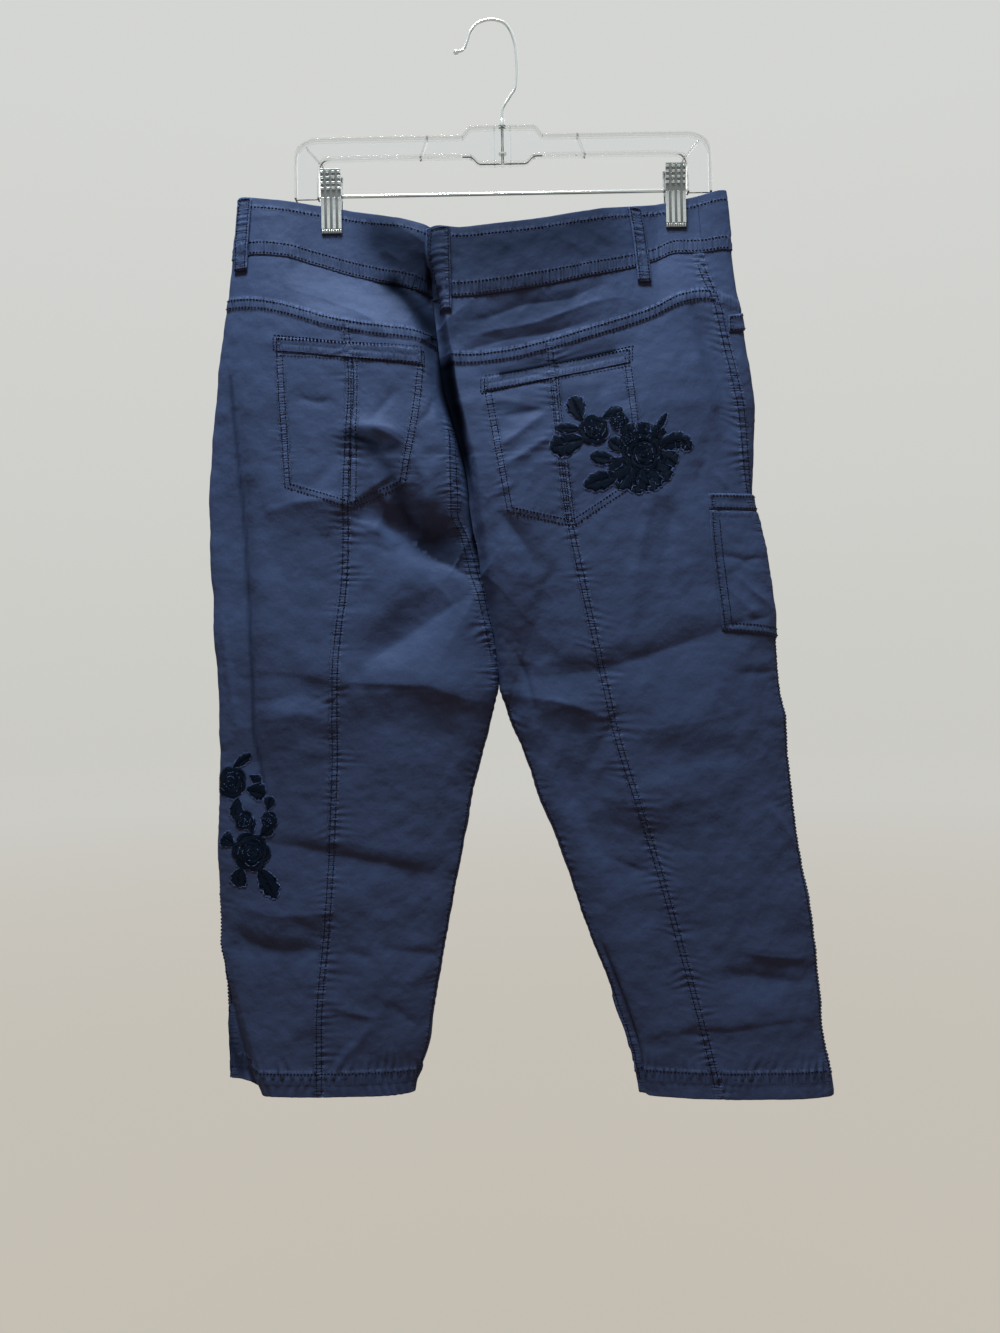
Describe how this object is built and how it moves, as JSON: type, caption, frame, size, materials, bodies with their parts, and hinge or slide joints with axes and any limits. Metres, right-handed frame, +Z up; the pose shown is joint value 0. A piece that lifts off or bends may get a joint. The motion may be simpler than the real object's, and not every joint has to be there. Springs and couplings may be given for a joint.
{
  "type": "capri pants on a clip hanger",
  "caption": "Capri pants with yoke, welt pockets, belt loops and a side cargo pocket, hung flat by the waistband from a clear two-clip hanger with a wire hook.",
  "frame": {"origin": "the underside of the wire hook's crown, where it rests on a rail or peg", "axes": "+Z up along the hanging garment, +Y out of the garment's front, so the back of the garment faces -Y, and +X towards the wearer's right"},
  "size_m": [0.5178, 0.0522, 0.9189],
  "materials": {
    "cloth": "soft brushed cotton twill with a slight sheen",
    "trim": "the same twill, doubled",
    "clear_plastic": "clear moulded polystyrene",
    "wire": "polished steel wire",
    "clip": "plated pressed steel",
    "button": "dark polished plastic"
  },
  "bodies": {
    "root": {"back_inner_left": "cloth", "back_inner_right": "cloth", "back_outer_left": "cloth", "back_outer_right": "cloth", "back_pocket_band_left": "trim", "back_pocket_band_right": "trim", "belt_loop_back_centre": "trim", "belt_loop_back_left": "trim", "belt_loop_back_right": "trim", "belt_loop_front_left": "trim", "belt_loop_front_right": "trim", "cargo_pocket": "trim", "cargo_pocket_band": "trim", "clip_left_back_jaw": "clip", "clip_left_front_jaw": "clip", "clip_left_spring": "clip", "clip_right_back_jaw": "clip", "clip_right_front_jaw": "clip", "clip_right_spring": "clip", "fly_flap": "trim", "front_left": "cloth", "front_pocket_band_left": "trim", "front_pocket_band_right": "trim", "front_right": "cloth", "hanger_frame": "clear_plastic", "hanger_hook": "wire", "hanger_hook_ball": "wire", "hanger_rod": "wire", "hem_back_left": "cloth", "hem_back_right": "cloth", "hem_front_left": "cloth", "hem_front_right": "cloth", "waist_button": "button", "waistband_back_left": "cloth", "waistband_back_right": "cloth", "waistband_front_left": "cloth", "waistband_front_right": "cloth", "yoke_left": "cloth", "yoke_right": "cloth"}
  },
  "joints": []
}
